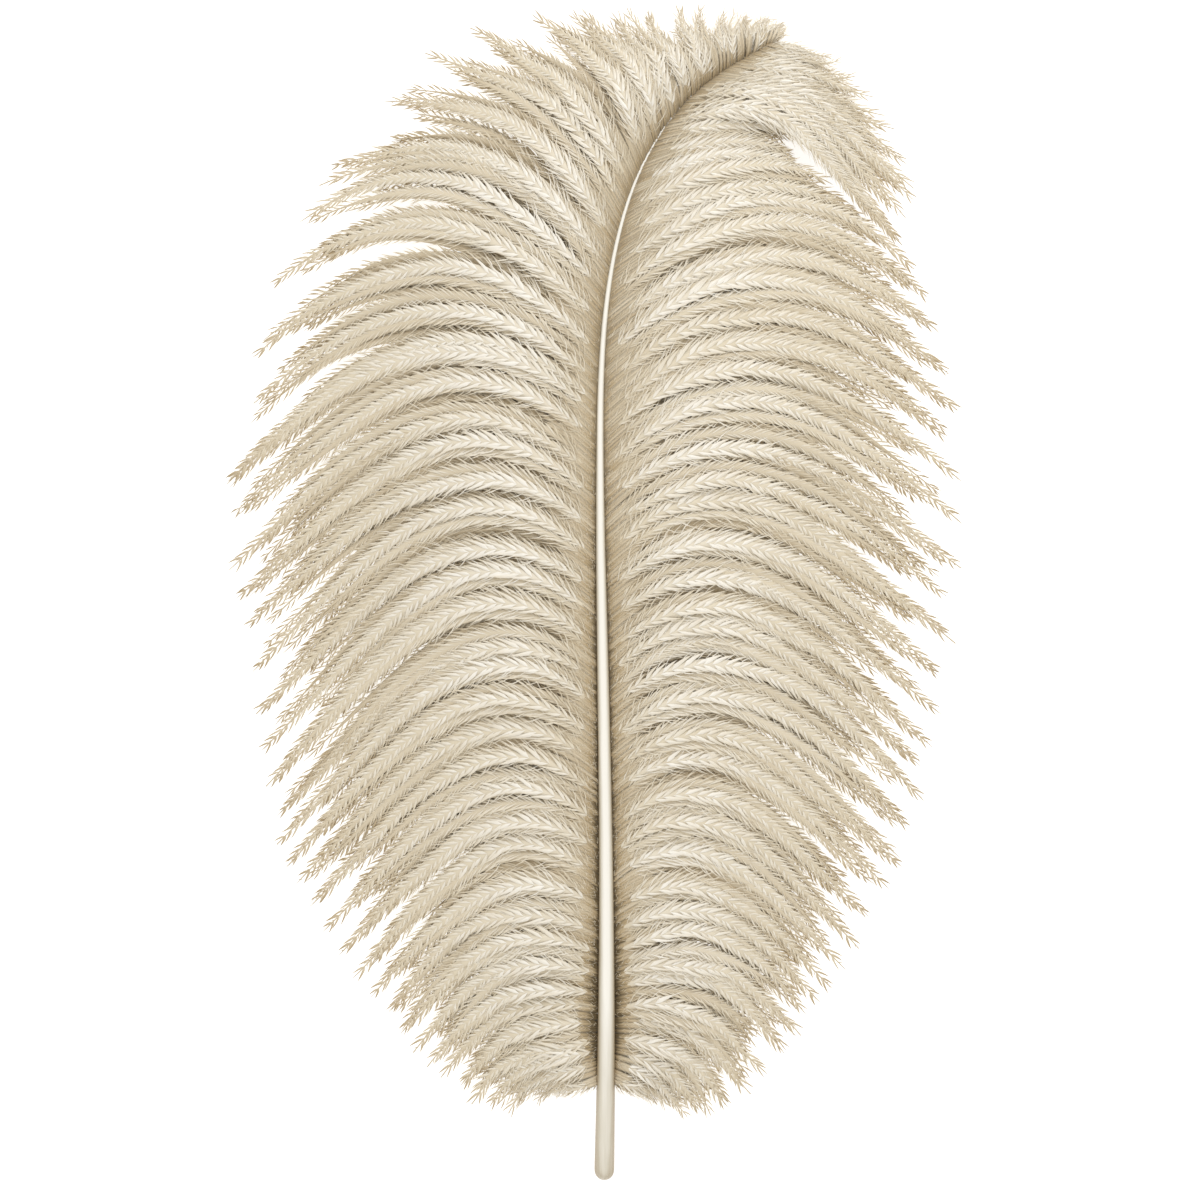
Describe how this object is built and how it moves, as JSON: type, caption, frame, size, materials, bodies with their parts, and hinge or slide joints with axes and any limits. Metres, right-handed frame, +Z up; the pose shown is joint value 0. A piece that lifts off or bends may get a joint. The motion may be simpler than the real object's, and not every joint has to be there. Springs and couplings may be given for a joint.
{
  "type": "ostrich feather",
  "caption": "Broad wing plume that lies flat: an arched tapering shaft with a soft drooping vane on each side and a tip curled to one side.",
  "frame": {"origin": "under the middle of the plume's footprint, on the surface that it lies on", "axes": "+Y from the quill's end towards the tip, +Z up out of the plume's upper side, +X to the side that the tip curls to"},
  "size_m": [0.3167, 0.5003, 0.0291],
  "materials": {
    "shaft_keratin": "smooth polished horn, ivory",
    "barb_keratin": "soft matte down, cream to beige"
  },
  "bodies": {
    "root": {"shaft": "shaft_keratin", "left_vane": "barb_keratin", "right_vane": "barb_keratin"}
  },
  "joints": []
}
